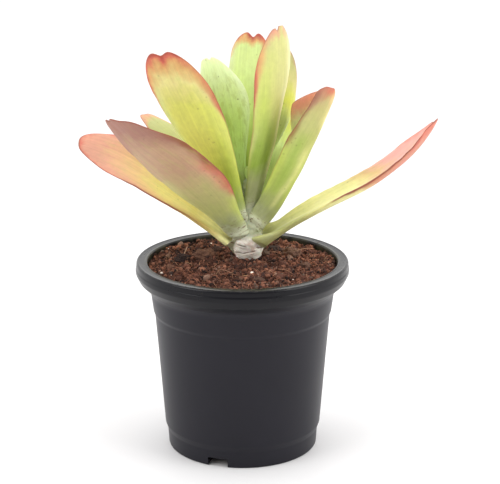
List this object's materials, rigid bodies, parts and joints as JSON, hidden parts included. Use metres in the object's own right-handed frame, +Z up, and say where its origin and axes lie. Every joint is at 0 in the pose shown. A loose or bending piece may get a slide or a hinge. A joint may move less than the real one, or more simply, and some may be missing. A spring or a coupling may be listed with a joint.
{
  "type": "potted paddle plant",
  "caption": "Succulent with thick upright paddle leaves in a rosette on a short stem, growing in coco peat in a round black nursery pot.",
  "frame": {"origin": "on the pot's axis, on the surface that the pot stands on", "axes": "+Z up along the pot's axis, -Y towards the viewer of the picture, +X to the right in it"},
  "size_m": [0.2169, 0.13, 0.2632],
  "materials": {
    "pot_plastic": "black moulded nursery pot, satin, lightly dusty",
    "coco_peat": "loose reddish-brown coco peat crumbs, matt",
    "stem_wax": "pale waxy bloom over green, with brown leaf scars",
    "leaf_green_gold": "yellow-green flesh with coral margins, waxy satin",
    "leaf_rose": "dusky rose to peach flesh with dark red margins, waxy satin",
    "leaf_pale_green": "pale green flesh with a whitish bloom, waxy satin"
  },
  "bodies": {
    "root": {"pot": "pot_plastic", "soil": "coco_peat", "stem": "stem_wax", "leaf_left_low": "leaf_rose", "leaf_right_long": "leaf_rose", "leaf_back_low": "leaf_green_gold", "leaf_front_left": "leaf_rose", "leaf_back_right": "leaf_green_gold", "leaf_back_left": "leaf_pale_green", "leaf_right_folded": "leaf_green_gold", "leaf_left_high": "leaf_green_gold", "leaf_back_tall": "leaf_pale_green", "leaf_front_tall": "leaf_green_gold", "leaf_left_inner": "leaf_pale_green", "leaf_right_inner": "leaf_pale_green", "leaf_young_back": "leaf_pale_green", "leaf_young_front": "leaf_pale_green"}
  },
  "joints": []
}
